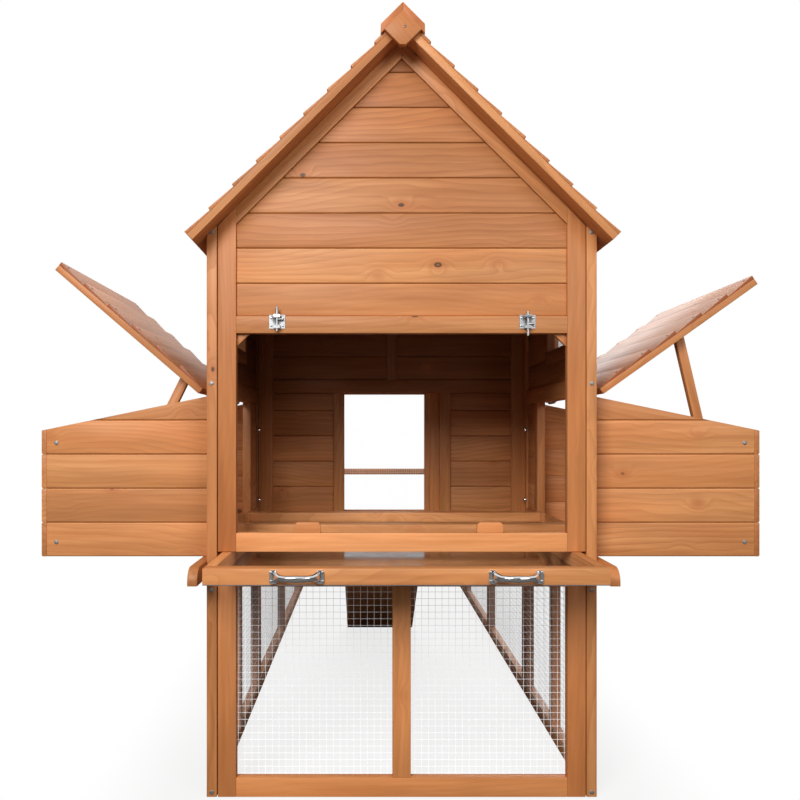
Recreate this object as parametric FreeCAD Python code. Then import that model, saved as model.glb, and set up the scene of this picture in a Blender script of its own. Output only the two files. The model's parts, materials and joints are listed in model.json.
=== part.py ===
"""Chicken coop with run: a gabled timber house on mesh legs with two lidded nest boxes, a droppings
tray pulled part way out, and a long mesh run behind it. Millimetres, +Z up.
X runs across the house, Y from the house front back along the run, Z = 0 is the ground.
The origin is the middle of the whole footprint. The lids stand propped open and the tray part way out."""
import FreeCAD, Part
import math
import os

# House
HOUSE_WIDTH = 730.0
HOUSE_DEPTH = 600.0
PANEL_THICK = 19.0
BACK_THICK = 15.0
BACK_BOARD_THICK = 9.0
STOCK = 36.0
BOARD_PITCH = 66.0
BOARD_LEAST = 14.0
BOARD_THICK = 10.0
BOARD_CHAMFER = 2.0
GABLE_FIRST = 62.0
EAVE_HEIGHT = 1050.0
RAKE_WIDTH = 23.0

# Front upper panel
TRAY_HEADROOM = 1.0
SILL_HEIGHT = 35.0
LINTEL_BOTTOM = 868.0
LINTEL_HEIGHT = 32.0
GUSSET_LEG = 24.0
GUSSET_THICK = 9.0
CATCH_WIDTH = 49.0
CATCH_HEIGHT = 20.0
CATCH_THICK = 9.0
CATCH_CHAMFER = 5.0
CATCH_LEFT_X = -176.5
CATCH_RIGHT_X = 165.5

# Barrel bolts on the lintel
BOLT_LEFT_INSET = 77.0
BOLT_RIGHT_INSET = 75.0
BOLT_Z = 889.0
BOLT_PLATE_WIDTH = 30.0
BOLT_PLATE_HEIGHT = 26.0
BOLT_PLATE_THICK = 1.5
BOLT_PIN_RADIUS = 2.5
BOLT_PIN_LENGTH = 45.0
BOLT_PIN_DROP = 4.0
BOLT_CLEARANCE = 0.06
BOLT_GUIDE_WIDTH = 12.0
BOLT_GUIDE_HEIGHT = 6.0
BOLT_WALL = 1.5
BOLT_KNOB_RADIUS = 2.0
BOLT_KNOB_REACH = 12.0
BOLT_KNOB_DROP = 4.3
BOLT_LEFT_LIFT = 8.5
BOLT_RIGHT_LIFT = 0.1

# Lower front panel and mesh
CENTRE_POST = 34.0
MESH_THICK = 1.6
MESH_EDGE = 9.0
MESH_BAR = 3.0
MESH_CELL = 48.0
WIDE_MESH_CELL = 190.0

# Droppings tray
TRAY_BOTTOM = 430.0
TRAY_SIDE_GAP = 9.5
TRAY_LENGTH = 570.0
TRAY_HEIGHT = 27.0
TRAY_FRONT_RAIL = 30.0
TRAY_SIDE_RAIL = 18.0
TRAY_SHEET = 1.0
TRAY_PULLED = 180.0
RUNNER_WIDTH = 18.0
RUNNER_HEIGHT = 18.0
SLIDE_GAP = 0.3
HANDLE_INSET = 156.0
HANDLE_PAD_SPACING = 77.0
HANDLE_GRIP_SPAN = 69.0
HANDLE_PAD_WIDTH = 13.0
HANDLE_PAD_HEIGHT = 22.6
HANDLE_PAD_THICK = 3.0
HANDLE_PAD_ROUND = 4.0
HANDLE_REACH = 20.0
HANDLE_BOW = 4
HANDLE_FLARE = 10.6
HANDLE_FLARE_BEND = 6
HANDLE_NECK = 3.8
HANDLE_SWELL = 5.8
HANDLE_DEPTH = 4.0
HANDLE_FOOT = 5.2
HANDLE_SIDES = 12
HANDLE_STATIONS = (0.0, 0.45, 0.75, 0.9, 0.97, 1.0)

# Side panels
NEST_SILL_TOP = 488.0
NEST_HEAD = 754.0
JAMB_FRONT = 435.0
MID_STILE_AT = 280.0
MID_STILE = 28.0
VENT_LENGTH = 264.0
VENT_SILL = 60.0
VENT_HEAD = 32.0
PANE_THICK = 3.0
VENT_BATTEN = 24.0
VENT_BATTEN_THICK = 12.0
VENT_BATTEN_INSET = 10.0
SIDE_BOTTOM_RAIL = 30.0
REAR_STILE = 33.0

# Nest boxes and lids
NEST_REACH = 330.0
NEST_FRONT = 52.0
NEST_LENGTH = 461.0
NEST_BOTTOM = 442.0
NEST_TOP_OUTER = 686.0
NEST_POST = 20.0
LID_FRONT = 35.0
LID_LENGTH_Y = 493.0
LID_REACH = 370.0
LID_START = 7.0
LID_BATTEN = 27.0
LID_THICK = 12.5
LID_RAIL = 24.0
LID_COURSES = 6
LID_COURSE_THIN = 0.8
LID_COURSE_THICK = 7.0
LID_LEFT_ANGLE = 40.8
LID_RIGHT_ANGLE = 35.5
LID_SEAT_GAP = 0.3
HINGE_RADIUS = 4.0
HINGE_PIN_RADIUS = 2.0
HINGE_PIN_CLEARANCE = 0.05
HINGE_LEAF = 1.5
HINGE_LENGTH = 48.0
HINGE_LEAF_REACH = 24.0
HINGE_INSET = 70.0
HINGE_OUT = 15.4
HINGE_RISE = 3.1
PROP_WIDTH = 17.0
PROP_THICK = 14.0
PROP_PIVOT_RADIUS = 2.5
PROP_PIVOT_UP = 3.5
PROP_HEAD_RADIUS = 5.0
PROP_HEAD_THICK = 2.5
PROP_LEFT_AT = 52.0
PROP_LEFT_LENGTH = 180.0
PROP_LEFT_ANGLE = 104.5
PROP_RIGHT_AT = 200.0
PROP_RIGHT_LENGTH = 171.0
PROP_RIGHT_ANGLE = 112.3

# Carry rails, perches
CARRY_THICK = 18.0
CARRY_HEIGHT = 32.0
CARRY_REACH = 84.0
CARRY_ROUND = 26.0
PERCH_HEIGHT = 21.0
PERCH_WIDTH = 38.0
PERCH_ABOVE_SILL = 8.0
PERCH_FRONT_AT = 140.0
PERCH_REAR_AT = 375.0
BRACKET_THICK = 10.0
BRACKET_WALL = 11.0
PERCH_CLEARANCE = 0.3

# Back wall, pop door, ramp
BACK_BOTTOM = 440.0
POP_WIDTH = 248.0
POP_BOTTOM = 475.0
POP_TOP = 785.0
POP_JAMB = 28.0
POP_DOOR_THICK = 9.0
POP_LAP = 5.0
POP_REST_GAP = 1.4
POP_STILE = 15.0
TRACK_DEPTH = 16.0
TRACK_HEIGHT = 15.0
TRACK_LAP = 9.0
BACK_BATTEN = 6.0
BACK_BATTEN_WIDTH = 27.0
BACK_STOCK = 33.0
RAMP_WIDTH = 226.0
RAMP_X = -20.0
RAMP_TOP = 476.0
RAMP_FOOT = 1331.0
RAMP_THICK = 15.0
CLEAT_COUNT = 8
CLEAT_FIRST = 71.0
CLEAT_LAST = 81.0
CLEAT_WIDTH = 14.0
CLEAT_HEIGHT = 8.0

# Roof
OVERHANG = 44.0
RAFTER_DEPTH = 63.0
RAFTER_THICK = 14.0
ROOF_SLOPE = 541.0
ROOF_COURSES = 8
COURSE_PITCH = 61.0
COURSE_THIN = 1.5
COURSE_THICK = 6.5
PURLIN_WIDTH = 34.0
CAP_THICK = 12.5
CAP_HALF = 40.0
CAP_PROUD = 6.0
RIDGE_BLOCK_SIDE = 48.0
RIDGE_BLOCK_THICK = 11.0
RIDGE_BLOCK_TRIM = 5.5

# Run
RUN_LENGTH = 2480.0
RUN_PANELS = 4
RUN_BELOW_EAVE = 90.0
RUN_STOCK = 30.0
RUN_MID_RAIL = 441.0
RUN_MID_RAIL_HEIGHT = 33.0

# Worked out from the sizes above
HALF = HOUSE_WIDTH / 2
ROOF_LINE_APEX = EAVE_HEIGHT + HALF
INNER = HALF - PANEL_THICK
OPEN_HALF = INNER - STOCK
RUN_END = HOUSE_DEPTH + RUN_LENGTH
RUN_HEIGHT = EAVE_HEIGHT - RUN_BELOW_EAVE
FRONT_REACH = TRAY_PULLED + HANDLE_PAD_THICK + HANDLE_REACH + HANDLE_DEPTH
REAR_REACH = RUN_END
FRONT_Y = (FRONT_REACH - REAR_REACH) / 2
LOWER_TOP = TRAY_BOTTOM - SLIDE_GAP
FRONT_BOTTOM = TRAY_BOTTOM + TRAY_SHEET + TRAY_HEIGHT + TRAY_HEADROOM
NEST_OUTER = HALF + NEST_REACH
LID_CLOSED_ANGLE = math.degrees(math.atan2(NEST_HEAD - NEST_TOP_OUTER, NEST_REACH))
HINGE_X = HALF + HINGE_OUT
HINGE_Z = (NEST_HEAD - HINGE_OUT * math.tan(math.radians(LID_CLOSED_ANGLE))
           + (HINGE_RISE + LID_SEAT_GAP) / math.cos(math.radians(LID_CLOSED_ANGLE)))
SLOPE = math.sqrt(0.5)
AXIS_X = FreeCAD.Vector(1, 0, 0)
AXIS_Y = FreeCAD.Vector(0, 1, 0)
AXIS_Z = FreeCAD.Vector(0, 0, 1)


def depth(distance):
    """The Y of a place that far behind the house's front face."""
    return FRONT_Y + distance


def box(x0, x1, d0, d1, z0, z1):
    """A straight piece between two X, two depths and two heights."""
    low, high = min(x0, x1), max(x0, x1)
    corner = FreeCAD.Vector(low, depth(d0), z0)
    return Part.makeBox(high - low, d1 - d0, z1 - z0, corner)


def face(points):
    return Part.Face(Part.makePolygon(points + points[:1]))


def across(points, d0, d1):
    """A section drawn in X and Z, carried from depth d0 to d1."""
    section = [FreeCAD.Vector(x, depth(d0), z) for x, z in points]
    return face(section).extrude(AXIS_Y * (d1 - d0))


def along_x(points, x0, x1):
    """A section drawn in depth and Z, carried from x0 to x1."""
    section = [FreeCAD.Vector(x0, depth(d), z) for d, z in points]
    return face(section).extrude(AXIS_X * (x1 - x0))


def sloped(points, d0, d1, side):
    """A section on the roof slope: distance down it from the apex and height square to it."""
    section = []
    for down, up in points:
        section.append((side * (down + up) * SLOPE, ROOF_LINE_APEX + (up - down) * SLOPE))
    return across(section, d0, d1)


def rod(radius, length, x, d, z, direction):
    return Part.makeCylinder(radius, length, FreeCAD.Vector(x, depth(d), z), direction)


def roof_line(x):
    """Height of the underside of the roof above a place across the house."""
    return ROOF_LINE_APEX - abs(x)


def export(name, solids):
    shape = Part.makeCompound(solids) if len(solids) > 1 else solids[0]
    shape.exportStep("parts/" + name + ".step")


def board_section(d0, d1, z0, z1):
    """A siding board's section, its outer edges eased to make the joint line."""
    ease = BOARD_CHAMFER
    return [(d0 + ease, z0), (d1, z0), (d1, z1), (d0 + ease, z1), (d0, z1 - ease), (d0, z0 + ease)]


def courses(bottom, top, joint=None):
    """Lower and upper height of each siding board between two heights."""
    rows = []
    level = bottom
    upper = bottom + BOARD_PITCH if joint is None else joint
    while upper < top - BOARD_LEAST:
        rows.append((level, upper))
        level = upper
        upper += BOARD_PITCH
    rows.append((level, top))
    return rows


def net(corner, along, up, normal, width, height, cell):
    """A flat sheet of welded mesh: one face with its gaps, given its thickness."""
    columns = max(1, round((width - 2 * MESH_EDGE) / cell))
    rows = max(1, round((height - 2 * MESH_EDGE) / cell))
    step_u = (width - 2 * MESH_EDGE + MESH_BAR) / columns
    step_v = (height - 2 * MESH_EDGE + MESH_BAR) / rows

    def outline(u0, u1, v0, v1):
        points = [corner + along * u + up * v for u, v in ((u0, v0), (u1, v0), (u1, v1), (u0, v1))]
        return Part.makePolygon(points + points[:1])

    wires = [outline(0, width, 0, height)]
    for column in range(columns):
        for row in range(rows):
            u = MESH_EDGE + column * step_u
            v = MESH_EDGE + row * step_v
            wires.append(outline(u, u + step_u - MESH_BAR, v, v + step_v - MESH_BAR))
    sheet = Part.Face(wires, "Part::FaceMakerBullseye")
    return sheet.extrude(normal * MESH_THICK)


def front_panel():
    stiles = []
    for side in (-1, 1):
        inner, outer = side * OPEN_HALF, side * INNER
        stiles.append(across([(inner, FRONT_BOTTOM), (outer, FRONT_BOTTOM), (outer, roof_line(INNER)),
                              (inner, roof_line(OPEN_HALF))], 0, PANEL_THICK))
    export("front_stiles", stiles)
    sill_top = FRONT_BOTTOM + SILL_HEIGHT
    lintel_top = LINTEL_BOTTOM + LINTEL_HEIGHT
    export("front_sill", [box(-OPEN_HALF, OPEN_HALF, 0, PANEL_THICK, FRONT_BOTTOM, sill_top)])
    export("front_lintel", [box(-OPEN_HALF, OPEN_HALF, 0, PANEL_THICK, LINTEL_BOTTOM, lintel_top)])
    export("front_rakes", rakes(0, PANEL_THICK))
    board_front = (PANEL_THICK - BOARD_THICK) / 2
    export("front_gable_boards", gable_boards(board_front, board_front + BOARD_THICK, lintel_top))
    gussets = []
    for side in (-1, 1):
        corner = side * OPEN_HALF
        gussets.append(across([(corner, LINTEL_BOTTOM), (corner - side * GUSSET_LEG, LINTEL_BOTTOM),
                               (corner, LINTEL_BOTTOM - GUSSET_LEG)],
                              PANEL_THICK - GUSSET_THICK, PANEL_THICK))
    export("lintel_gussets", gussets)
    catches = []
    for middle in (CATCH_LEFT_X, CATCH_RIGHT_X):
        low, high = middle - CATCH_WIDTH / 2, middle + CATCH_WIDTH / 2
        top = sill_top + CATCH_HEIGHT
        catches.append(across([(low, sill_top), (high, sill_top), (high, top - CATCH_CHAMFER),
                               (high - CATCH_CHAMFER, top), (low + CATCH_CHAMFER, top),
                               (low, top - CATCH_CHAMFER)], 0, CATCH_THICK))
    export("sill_catches", catches)


def rakes(d0, d1):
    """The pair of sloping frame members under the roof, mitred at the apex."""
    drop = RAKE_WIDTH / SLOPE
    pair = []
    for side in (-1, 1):
        foot = side * OPEN_HALF
        pair.append(across([(0, ROOF_LINE_APEX), (foot, roof_line(foot)), (foot, roof_line(foot) - drop),
                            (0, ROOF_LINE_APEX - drop)], d0, d1))
    return pair


def gable_boards(d0, d1, bottom):
    """Horizontal boards filling the gable between the stiles and under the rakes."""
    apex = ROOF_LINE_APEX - RAKE_WIDTH / SLOPE
    shoulder = apex - OPEN_HALF
    gable = across([(-OPEN_HALF, bottom), (OPEN_HALF, bottom), (OPEN_HALF, shoulder), (0, apex),
                    (-OPEN_HALF, shoulder)], d0, d1)
    boards = []
    for low, high in courses(bottom, apex, bottom + GABLE_FIRST):
        board = along_x(board_section(d0, d1, low, high), -OPEN_HALF, OPEN_HALF)
        boards.extend(board.common(gable).Solids)
    return boards


def barrel_bolts():
    """Two zinc bolts: a plate with two guides each, and a pin with its knob."""
    plate_face = -BOLT_PLATE_THICK
    pin_d = plate_face - BOLT_WALL - BOLT_PIN_RADIUS - BOLT_CLEARANCE
    guide_front = pin_d - BOLT_PIN_RADIUS - BOLT_CLEARANCE - BOLT_WALL
    plates = []
    lifts = (("left", BOLT_LEFT_INSET - OPEN_HALF, BOLT_LEFT_LIFT),
             ("right", OPEN_HALF - BOLT_RIGHT_INSET, BOLT_RIGHT_LIFT))
    for name, x, lift in lifts:
        low = BOLT_Z - BOLT_PLATE_HEIGHT / 2
        high = BOLT_Z + BOLT_PLATE_HEIGHT / 2
        plate = box(x - BOLT_PLATE_WIDTH / 2, x + BOLT_PLATE_WIDTH / 2, plate_face, 0, low, high)
        for z in (low, high - BOLT_GUIDE_HEIGHT):
            guide = box(x - BOLT_GUIDE_WIDTH / 2, x + BOLT_GUIDE_WIDTH / 2, guide_front, plate_face, z,
                        z + BOLT_GUIDE_HEIGHT)
            plate = plate.fuse(guide)
        bore = rod(BOLT_PIN_RADIUS + BOLT_CLEARANCE, BOLT_PLATE_HEIGHT, x, pin_d, low, AXIS_Z)
        plates.append(plate.cut(bore).removeSplitter().Solids[0])
        pin_low = BOLT_Z + lift - BOLT_PIN_DROP - BOLT_PIN_LENGTH / 2
        pin = rod(BOLT_PIN_RADIUS, BOLT_PIN_LENGTH, x, pin_d, pin_low, AXIS_Z)
        knob = rod(BOLT_KNOB_RADIUS, BOLT_KNOB_REACH, x, pin_d, BOLT_Z + lift - BOLT_KNOB_DROP, AXIS_X)
        export("bolt_pin_" + name, [pin.fuse(knob)])
    export("bolt_plates", plates)


def lower_front():
    """The mesh panel under the tray: frame, centre post and mesh behind it."""
    frame = []
    for side in (-1, 1):
        frame.append(box(side * OPEN_HALF, side * INNER, 0, PANEL_THICK, 0, LOWER_TOP))
    frame.append(box(-OPEN_HALF, OPEN_HALF, 0, PANEL_THICK, 0, STOCK))
    frame.append(box(-OPEN_HALF, OPEN_HALF, 0, PANEL_THICK, LOWER_TOP - STOCK, LOWER_TOP))
    frame.append(box(-CENTRE_POST / 2, CENTRE_POST / 2, 0, PANEL_THICK, STOCK, LOWER_TOP - STOCK))
    export("lower_front_frame", frame)
    half = OPEN_HALF + STOCK / 3
    low = STOCK * 2 / 3
    corner = FreeCAD.Vector(-half, depth(PANEL_THICK), low)
    export("lower_front_mesh", [net(corner, AXIS_X, AXIS_Z, AXIS_Y, 2 * half, LOWER_TOP - 2 * low,
                                    MESH_CELL)])


def side_panel(name, side):
    """One house side: full-height frame, siding above and behind the nest opening, a vent pane."""
    inner, outer = side * INNER, side * HALF
    top = [(inner, 0), (outer, 0), (outer, roof_line(outer)), (inner, roof_line(inner))]
    rear = HOUSE_DEPTH - REAR_STILE
    rail_low = roof_line(HALF) - STOCK
    vent_top = rail_low - VENT_HEAD
    vent_end = STOCK + VENT_LENGTH
    head_top = NEST_HEAD + STOCK
    vent_bottom = head_top + VENT_SILL
    frame = [across(top, 0, STOCK), across(top, rear, HOUSE_DEPTH)]
    frame.append(box(inner, outer, STOCK, rear, 0, SIDE_BOTTOM_RAIL))
    frame.append(box(inner, outer, MID_STILE_AT, MID_STILE_AT + MID_STILE, SIDE_BOTTOM_RAIL,
                     LOWER_TOP - STOCK))
    frame.append(box(inner, outer, STOCK, rear, LOWER_TOP - STOCK, LOWER_TOP))
    frame.append(box(inner, outer, STOCK, rear, LOWER_TOP, NEST_SILL_TOP))
    frame.append(box(inner, outer, STOCK, rear, NEST_HEAD, head_top))
    frame.append(box(inner, outer, JAMB_FRONT, JAMB_FRONT + STOCK, NEST_SILL_TOP, NEST_HEAD))
    frame.append(box(inner, outer, vent_end, vent_end + STOCK, vent_bottom, vent_top))
    frame.append(across([(inner, rail_low), (outer, rail_low), (outer, roof_line(outer)),
                         (inner, roof_line(inner))], STOCK, rear))
    export("side_frame_" + name, frame)

    skin = INNER + (PANEL_THICK - BOARD_THICK) / 2
    boards = []

    def fill(d0, d1, z0, z1):
        for low, high in courses(z0, z1):
            section = board_section(-skin - BOARD_THICK, -skin, low, high)
            points = [FreeCAD.Vector(-side * x, depth(d0), z) for x, z in section]
            boards.append(face(points).extrude(AXIS_Y * (d1 - d0)))

    fill(JAMB_FRONT + STOCK, rear, NEST_SILL_TOP, NEST_HEAD)
    fill(STOCK, rear, head_top, vent_bottom)
    fill(vent_end + STOCK, rear, vent_bottom, vent_top)
    fill(STOCK, rear, vent_top, rail_low)
    export("side_boards_" + name, boards)
    pane_x = side * (INNER + (PANEL_THICK - PANE_THICK) / 2)
    pane = box(pane_x, pane_x + side * PANE_THICK, STOCK, vent_end, vent_bottom, vent_top)
    batten_in, batten_out = side * (INNER - VENT_BATTEN_THICK), side * skin
    low = vent_bottom - VENT_BATTEN + VENT_BATTEN_INSET
    high = vent_top - VENT_BATTEN_INSET
    near, far = STOCK + VENT_BATTEN, vent_end - VENT_BATTEN
    battens = [box(batten_in, batten_out, STOCK, vent_end, low, low + VENT_BATTEN),
               box(batten_in, batten_out, STOCK, vent_end, high, high + VENT_BATTEN),
               box(batten_in, batten_out, STOCK, near, low + VENT_BATTEN, high),
               box(batten_in, batten_out, far, vent_end, low + VENT_BATTEN, high)]
    return pane, battens


def side_meshes(name, side):
    """Mesh on the inner faces of one house side and of that side's run panels."""
    x = side * INNER
    inward = AXIS_X * -side
    low = STOCK * 2 / 3
    house_start = PANEL_THICK + MESH_THICK
    sheets = [net(FreeCAD.Vector(x, depth(house_start), low), AXIS_Y, AXIS_Z, inward,
                  HOUSE_DEPTH - STOCK / 3 - house_start, LOWER_TOP - RUNNER_HEIGHT - SLIDE_GAP - low,
                  WIDE_MESH_CELL)]
    panel = RUN_LENGTH / RUN_PANELS
    edge = RUN_STOCK / 3
    for number in range(RUN_PANELS):
        start = HOUSE_DEPTH + number * panel + 2 * edge
        end = HOUSE_DEPTH + (number + 1) * panel - (2 * edge if number == RUN_PANELS - 1 else edge)
        sheets.append(net(FreeCAD.Vector(x, depth(start), 2 * edge), AXIS_Y, AXIS_Z, inward,
                          end - start, RUN_HEIGHT - 4 * edge, WIDE_MESH_CELL))
    export("side_mesh_" + name, sheets)


def back_wall():
    """Wall between house and run: frame, boards, the sliding pop door in its tracks, the ramp."""
    front = HOUSE_DEPTH - BACK_THICK
    skin = HOUSE_DEPTH - BACK_BOARD_THICK
    header_top = POP_TOP + BACK_STOCK
    half = POP_WIDTH / 2
    jamb = half + POP_JAMB
    frame = rakes(front, HOUSE_DEPTH)
    boards = []
    for side in (-1, 1):
        inner, outer = side * OPEN_HALF, side * INNER
        frame.append(across([(inner, BACK_BOTTOM), (outer, BACK_BOTTOM), (outer, roof_line(outer)),
                             (inner, roof_line(inner))], front, HOUSE_DEPTH))
        frame.append(box(side * half, side * jamb, front, HOUSE_DEPTH, POP_BOTTOM, POP_TOP))
        for low, high in courses(POP_BOTTOM, POP_TOP):
            boards.append(along_x(board_section(skin, HOUSE_DEPTH, low, high), min(side * jamb, inner),
                                  max(side * jamb, inner)))
    frame.append(box(-OPEN_HALF, OPEN_HALF, front, HOUSE_DEPTH, BACK_BOTTOM, POP_BOTTOM))
    frame.append(box(-OPEN_HALF, OPEN_HALF, front, HOUSE_DEPTH, POP_TOP, header_top))
    apex = ROOF_LINE_APEX - RAKE_WIDTH / SLOPE
    half_batten = BACK_BATTEN_WIDTH / 2
    frame.append(across([(-half_batten, header_top), (half_batten, header_top),
                         (half_batten, apex - half_batten), (0, apex), (-half_batten, apex - half_batten)],
                        front, front + BACK_BATTEN))
    boards.extend(gable_boards(skin, HOUSE_DEPTH, header_top))
    export("back_frame", frame)
    export("back_boards", boards)

    width = POP_WIDTH + 2 * POP_LAP
    door_front = HOUSE_DEPTH + SLIDE_GAP
    door_low, door_high = POP_BOTTOM - POP_LAP, POP_TOP + POP_LAP
    door_end = INNER - MESH_THICK - POP_REST_GAP
    edges = (door_end - width, door_end - width + POP_STILE, door_end - POP_STILE, door_end)
    door = []
    for x0, x1 in zip(edges, edges[1:]):
        door.append(box(x0, x1, door_front, door_front + POP_DOOR_THICK, door_low, door_high))
    export("pop_door", door)
    lip_front = door_front + POP_DOOR_THICK + SLIDE_GAP
    lip_back = HOUSE_DEPTH + TRACK_DEPTH
    tracks = []
    for seat, way in ((door_low - SLIDE_GAP, -1), (door_high + SLIDE_GAP, 1)):
        far = seat + way * TRACK_HEIGHT
        lap = seat - way * TRACK_LAP
        section = [(HOUSE_DEPTH, far), (lip_back, far), (lip_back, lap), (lip_front, lap),
                   (lip_front, seat), (HOUSE_DEPTH, seat)]
        tracks.append(along_x(section, -width / 2 - POP_LAP, INNER - MESH_THICK))
    export("pop_door_tracks", tracks)

    slant = math.atan2(RAMP_TOP, RAMP_FOOT - lip_back)
    drop = RAMP_THICK / math.cos(slant)
    foot_step = RAMP_THICK / math.sin(slant)
    ramp_left, ramp_right = RAMP_X - RAMP_WIDTH / 2, RAMP_X + RAMP_WIDTH / 2
    ramp = [along_x([(lip_back, RAMP_TOP), (RAMP_FOOT, 0), (RAMP_FOOT - foot_step, 0),
                     (lip_back, RAMP_TOP - drop)], ramp_left, ramp_right)]
    board_length = math.hypot(RAMP_TOP, RAMP_FOOT - lip_back)
    for number in range(CLEAT_COUNT):
        start = CLEAT_FIRST + number * (board_length - CLEAT_LAST - CLEAT_FIRST) / (CLEAT_COUNT - 1)
        corners = []
        for down, up in ((start, 0), (start + CLEAT_WIDTH, 0), (start + CLEAT_WIDTH, CLEAT_HEIGHT),
                         (start, CLEAT_HEIGHT)):
            corners.append((lip_back + down * math.cos(slant) + up * math.sin(slant),
                            RAMP_TOP - down * math.sin(slant) + up * math.cos(slant)))
        ramp.append(along_x(corners, ramp_left, ramp_right))
    export("ramp", ramp)


def roof():
    """Two slopes of bevelled boards on rafters and eave purlins, with a capped ridge."""
    front, back = -OVERHANG, HOUSE_DEPTH + OVERHANG
    frame = []
    purlin = ROOF_SLOPE - PURLIN_WIDTH
    for side in (-1, 1):
        for start in (front, back - RAFTER_DEPTH):
            frame.append(sloped([(0, 0), (ROOF_SLOPE, 0), (ROOF_SLOPE, RAFTER_THICK),
                                 (-RAFTER_THICK, RAFTER_THICK)], start, start + RAFTER_DEPTH, side))
        frame.append(sloped([(purlin, 0), (ROOF_SLOPE, 0), (ROOF_SLOPE, RAFTER_THICK),
                             (purlin, RAFTER_THICK)], front + RAFTER_DEPTH, back - RAFTER_DEPTH, side))
    export("roof_frame", frame)
    butt = RAFTER_THICK + COURSE_THICK
    lowest_head = ROOF_SLOPE - ROOF_COURSES * COURSE_PITCH
    for name, side in (("left", -1), ("right", 1)):
        boards = [sloped([(-RAFTER_THICK, RAFTER_THICK), (lowest_head, RAFTER_THICK), (lowest_head, butt),
                          (-butt, butt)], front, back, side)]
        for number in range(ROOF_COURSES):
            lower = ROOF_SLOPE - number * COURSE_PITCH
            upper = lower - COURSE_PITCH
            boards.append(sloped([(upper, RAFTER_THICK), (lower, RAFTER_THICK), (lower, butt),
                                  (upper, RAFTER_THICK + COURSE_THIN)], front, back, side))
        export("roof_boards_" + name, boards)
    cap = []
    top = ROOF_LINE_APEX + (butt + CAP_THICK) / SLOPE
    under = ROOF_LINE_APEX + butt / SLOPE
    for side in (-1, 1):
        edge = side * CAP_HALF
        cap.append(across([(0, top), (edge, top - CAP_HALF), (edge, under - CAP_HALF), (0, under)],
                          front - CAP_PROUD, back + CAP_PROUD))
    export("ridge_cap", cap)
    blocks = []
    half = RIDGE_BLOCK_SIDE * SLOPE
    centre = under - half
    low = centre - half + RIDGE_BLOCK_TRIM
    diamond = [(0, centre + half), (half, centre), (RIDGE_BLOCK_TRIM, low), (-RIDGE_BLOCK_TRIM, low),
               (-half, centre)]
    for start in (front - RIDGE_BLOCK_THICK, back):
        blocks.append(across(diamond, start, start + RIDGE_BLOCK_THICK))
    export("ridge_blocks", blocks)


def nest_box(name, side):
    """A nest box hung on one house side, with a top edge that slopes outward."""
    back = NEST_FRONT + NEST_LENGTH
    fall = (NEST_HEAD - NEST_TOP_OUTER) / NEST_REACH
    end_inner = NEST_OUTER - BOARD_THICK

    def top(x):
        return NEST_HEAD - (x - HALF) * fall

    profile = [(side * HALF, NEST_BOTTOM), (side * end_inner, NEST_BOTTOM),
               (side * end_inner, top(end_inner)), (side * HALF, top(HALF))]
    walls = []
    for d0 in (NEST_FRONT, back - BOARD_THICK):
        limit = across(profile, d0, d0 + BOARD_THICK)
        for low, high in courses(NEST_BOTTOM, NEST_HEAD):
            section = board_section(d0, d0 + BOARD_THICK, low, high)
            if d0 != NEST_FRONT:
                section = [(2 * d0 + BOARD_THICK - d, z) for d, z in section]
            plank = along_x(section, min(side * HALF, side * end_inner), max(side * HALF, side * end_inner))
            walls.extend(plank.common(limit).Solids)
    end_limit = across([(side * end_inner, NEST_BOTTOM), (side * NEST_OUTER, NEST_BOTTOM),
                        (side * NEST_OUTER, top(NEST_OUTER)), (side * end_inner, top(end_inner))],
                       NEST_FRONT, back)
    for low, high in courses(NEST_BOTTOM, top(end_inner)):
        ease = BOARD_CHAMFER
        section = [(end_inner, low), (NEST_OUTER - ease, low), (NEST_OUTER, low + ease),
                   (NEST_OUTER, high - ease), (NEST_OUTER - ease, high), (end_inner, high)]
        plank = across([(side * x, z) for x, z in section], NEST_FRONT, back)
        walls.extend(plank.common(end_limit).Solids)
    export("nest_walls_" + name, walls)

    floor_top = NEST_BOTTOM + BOARD_THICK
    inside_front, inside_back = NEST_FRONT + BOARD_THICK, back - BOARD_THICK
    floor = box(side * HALF, side * end_inner, inside_front, inside_back, NEST_BOTTOM, floor_top)
    posts = []
    post_inner = end_inner - NEST_POST
    for d0 in (inside_front, inside_back - NEST_POST):
        posts.append(across([(side * post_inner, floor_top), (side * end_inner, floor_top),
                             (side * end_inner, top(end_inner)), (side * post_inner, top(post_inner))],
                            d0, d0 + NEST_POST))
    return floor, posts


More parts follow.
